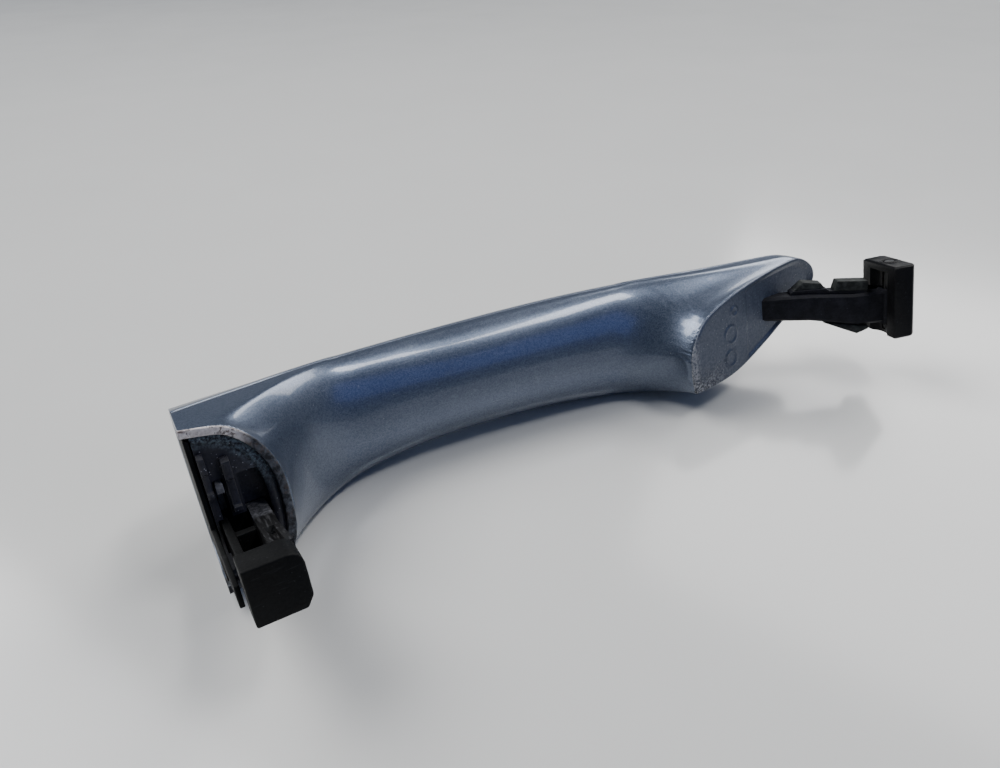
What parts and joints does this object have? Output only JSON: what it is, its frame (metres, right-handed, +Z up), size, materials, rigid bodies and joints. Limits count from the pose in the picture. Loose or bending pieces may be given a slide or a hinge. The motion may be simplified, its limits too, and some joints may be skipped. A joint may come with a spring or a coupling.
{
  "type": "car door handle",
  "caption": "Painted strap-type exterior car door pull handle with a rear pull hook and a front hinge arm that ends in a swivelling bearing head.",
  "frame": {"origin": "on the surface the handle rests on, under the middle of its outer box", "axes": "+X from the rear cut end to the front hinge head, +Z up with the handle lying on its lower edge, -Y and partly +Z towards the door side"},
  "size_m": [0.2106, 0.0762, 0.044],
  "materials": {
    "paint": "silver-blue metallic paint, satin gloss, worn at the rims",
    "black_plastic": "black moulded plastic, dusty and scuffed",
    "grey_plastic": "dusty grey plastic",
    "beam_plastic": "glass-filled black plastic",
    "seal_rubber": "thin black seam seal",
    "steel": "zinc-plated steel"
  },
  "bodies": {
    "handle": {"outer_shell": "paint", "grip_shell": "paint", "seam_gasket": "seal_rubber", "core_beam": "beam_plastic", "grip_stiffener": "steel", "front_mount_plate": "beam_plastic", "front_arm": "black_plastic", "rear_carrier": "black_plastic", "rail_left": "black_plastic", "rail_right": "black_plastic", "latch_tongue": "grey_plastic", "tongue_spring": "steel", "end_plate": "black_plastic", "pull_hook": "black_plastic", "hook_cheek": "grey_plastic", "hook_block": "black_plastic", "arm_ramp_root": "black_plastic", "arm_ramp_tip": "black_plastic", "arm_wedge": "black_plastic", "rear_screw_upper": "steel", "rear_screw_lower": "steel", "front_screw_upper": "steel", "front_screw_lower": "steel"},
    "bearing_head": {"hinge_head": "black_plastic", "hinge_pin": "steel"}
  },
  "joints": [
    {"name": "head_swing", "type": "hinge", "parent": "handle", "child": "bearing_head", "pos_m": [0.09971, -0.01633, 0.02736], "axis": [0, 0.2639, 0.9646], "range_deg": [0, 18]}
  ]
}
